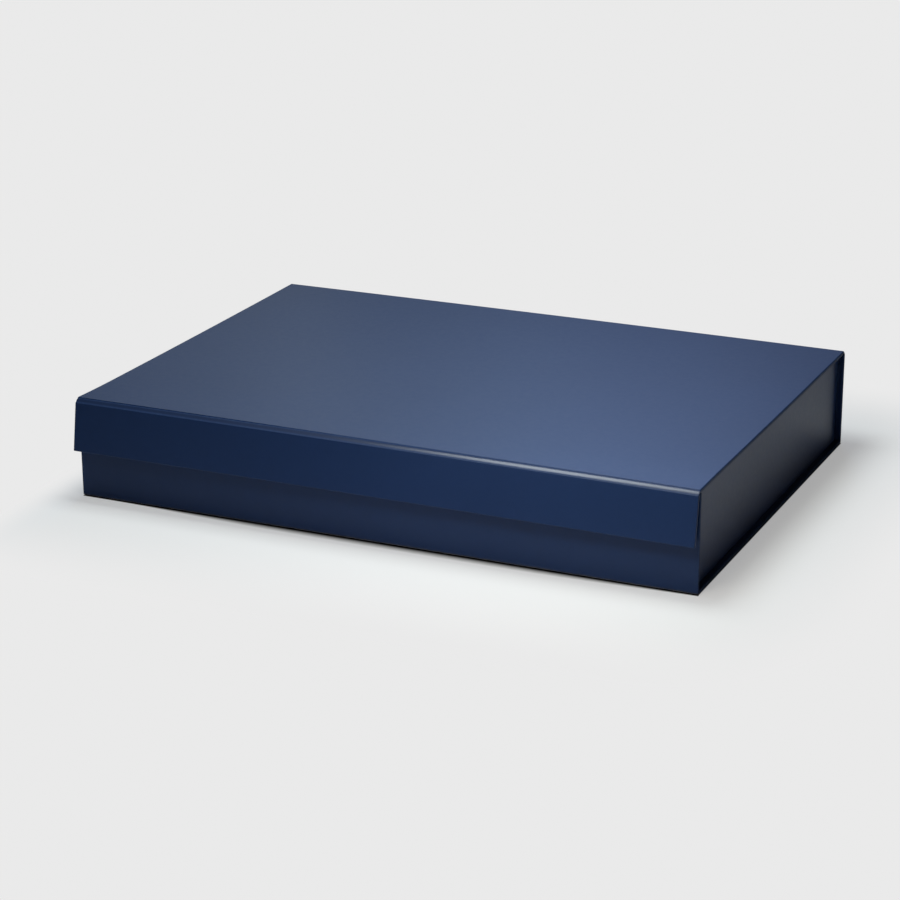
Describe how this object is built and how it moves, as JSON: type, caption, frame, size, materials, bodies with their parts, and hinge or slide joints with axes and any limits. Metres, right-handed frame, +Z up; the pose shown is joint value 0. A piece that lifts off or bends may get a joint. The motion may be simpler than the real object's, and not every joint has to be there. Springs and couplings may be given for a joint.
{
  "type": "magnetic gift box",
  "caption": "Shallow rigid paper-covered box with a hinged lid whose front flap shuts on hidden magnets.",
  "frame": {"origin": "middle of the closed box's outline, flap included, on the face that it stands on", "axes": "+X to the right along the long front, +Y from the front to the hinge side, +Z up"},
  "size_m": [0.44, 0.3202, 0.07],
  "materials": {
    "outer_paper": "navy paper with a satin film laminated on it",
    "inner_paper": "plain matt navy paper",
    "greyboard": "raw grey bookbinder's board",
    "magnet": "nickel plated",
    "steel_disc": "plain rolled steel",
    "adhesive_tape": "milky double-sided tape"
  },
  "bodies": {
    "tray": {"back_left_tape": "adhesive_tape", "back_right_tape": "adhesive_tape", "base_board": "greyboard", "base_liner": "inner_paper", "base_wrap": "outer_paper", "front_left_tape": "adhesive_tape", "front_right_tape": "adhesive_tape", "front_wall_board": "greyboard", "front_wall_liner": "inner_paper", "front_wall_wrap": "outer_paper", "left_steel_disc": "steel_disc", "left_wall_board": "greyboard", "left_wall_liner": "inner_paper", "left_wall_wrap": "outer_paper", "right_steel_disc": "steel_disc", "right_wall_board": "greyboard", "right_wall_liner": "inner_paper", "right_wall_wrap": "outer_paper", "spine_board": "greyboard", "spine_liner": "inner_paper", "spine_wrap": "outer_paper"},
    "lid": {"lid_board": "greyboard", "lid_wrap": "outer_paper", "lid_liner": "inner_paper", "lid_crease_web": "outer_paper", "lid_crease_liner": "inner_paper"},
    "flap": {"flap_board": "greyboard", "flap_wrap": "outer_paper", "flap_liner": "inner_paper", "left_magnet": "magnet", "right_magnet": "magnet", "flap_crease_web": "outer_paper", "flap_crease_liner": "inner_paper"}
  },
  "joints": [
    {"name": "lid_hinge", "type": "hinge", "parent": "tray", "child": "lid", "pos_m": [0, 0.15849, 0.0684], "axis": [-1, 0, 0], "range_deg": [0, 178], "deforming": ["lid_crease_web", "lid_crease_liner"]},
    {"name": "flap_hinge", "type": "hinge", "parent": "lid", "child": "flap", "pos_m": [0, -0.15301, 0.0684], "axis": [-1, 0, 0], "range_deg": [-10.37, 80.8], "deforming": ["flap_crease_web", "flap_crease_liner"]}
  ]
}
